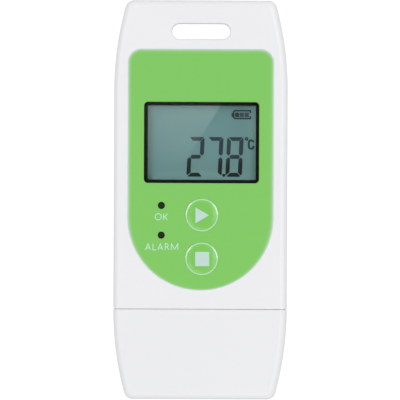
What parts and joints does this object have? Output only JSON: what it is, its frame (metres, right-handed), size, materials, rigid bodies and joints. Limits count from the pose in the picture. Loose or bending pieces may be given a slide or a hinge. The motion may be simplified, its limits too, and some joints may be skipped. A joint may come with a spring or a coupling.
{
  "type": "temperature data logger",
  "caption": "Slim white pocket temperature data logger with a display, start and stop keys, status lights, a lanyard slot and a pull-off cap over its computer plug.",
  "frame": {"origin": "middle of the back face, where the logger lies on its back, half-way between its two ends", "axes": "+X to the right seen from the front, +Y along the logger from the cap to the lanyard slot, +Z out of the front face with its display and keys"},
  "size_m": [0.0434, 0.1, 0.0123],
  "materials": {
    "case_plastic": "fine satin moulding, white",
    "cap_plastic": "fine satin moulding, white",
    "green_film": "printed satin film, green",
    "green_key": "satin green key with a pale rim",
    "clear_lens": "clear polished lens",
    "black_tape": "black adhesive film",
    "smoked_pipe": "smoked light guide",
    "polariser_film": "grey-green polariser",
    "lcd_glass": "clear display glass",
    "reflector_film": "grey-green reflector",
    "holder_plastic": "natural moulding",
    "zebra_rubber": "striped silicone connector",
    "board_laminate": "green solder mask",
    "screw_steel": "plated steel",
    "switch_plastic": "black switch case",
    "plunger_plastic": "black plunger",
    "led_resin": "clear resin on a white base",
    "chip_epoxy": "black epoxy",
    "capacitor_ceramic": "tan ceramic",
    "can_metal": "plated can",
    "cell_steel": "nickel-plated steel",
    "contact_metal": "plated spring metal",
    "gold_contact": "gold plating",
    "shell_steel": "nickel-plated steel sheet",
    "white_insulator": "white moulding",
    "seal_rubber": "grey silicone"
  },
  "bodies": {
    "case": {"front_cover": "case_plastic", "rear_cover": "case_plastic", "case_seal": "seal_rubber", "case_screws": "screw_steel", "faceplate": "green_film", "display_lens": "clear_lens", "lens_tape": "black_tape", "ok_light_pipe": "smoked_pipe", "alarm_light_pipe": "smoked_pipe", "lcd_front_polariser": "polariser_film", "lcd_front_glass": "lcd_glass", "lcd_rear_glass": "lcd_glass", "lcd_reflector": "reflector_film", "lcd_holder": "holder_plastic", "zebra_strip": "zebra_rubber", "circuit_board": "board_laminate", "board_screws": "screw_steel", "start_switch": "switch_plastic", "stop_switch": "switch_plastic", "ok_led": "led_resin", "alarm_led": "led_resin", "microcontroller": "chip_epoxy", "memory_chip": "chip_epoxy", "clock_crystal": "can_metal", "temperature_sensor": "chip_epoxy", "chip_capacitors": "capacitor_ceramic", "chip_resistors": "chip_epoxy", "coin_cell": "cell_steel", "positive_contact": "contact_metal", "negative_contact": "contact_metal", "plug_shell": "shell_steel", "plug_insulator": "white_insulator", "plug_contacts": "gold_contact", "plug_seal": "seal_rubber", "cap_seal": "seal_rubber"},
    "cap": {"plug_cap": "cap_plastic"},
    "start_button": {"start_key": "green_key", "start_plunger": "plunger_plastic"},
    "stop_button": {"stop_key": "green_key", "stop_plunger": "plunger_plastic"},
    "door": {"battery_door": "case_plastic", "door_seal": "seal_rubber"}
  },
  "joints": [
    {"name": "cap_pull", "type": "slide", "parent": "case", "child": "cap", "axis": [0, -1, 0], "range_m": [0, 0.025]},
    {"name": "start_press", "type": "slide", "parent": "case", "child": "start_button", "axis": [0, 0, -1], "range_m": [0, 0.0003], "stiffness_N_per_m": 1500},
    {"name": "stop_press", "type": "slide", "parent": "case", "child": "stop_button", "axis": [0, 0, -1], "range_m": [0, 0.0003], "stiffness_N_per_m": 1500},
    {"name": "door_turn", "type": "hinge", "parent": "case", "child": "door", "pos_m": [0, 0.012, 0], "axis": [0, 0, -1], "range_deg": [0, 45]}
  ]
}
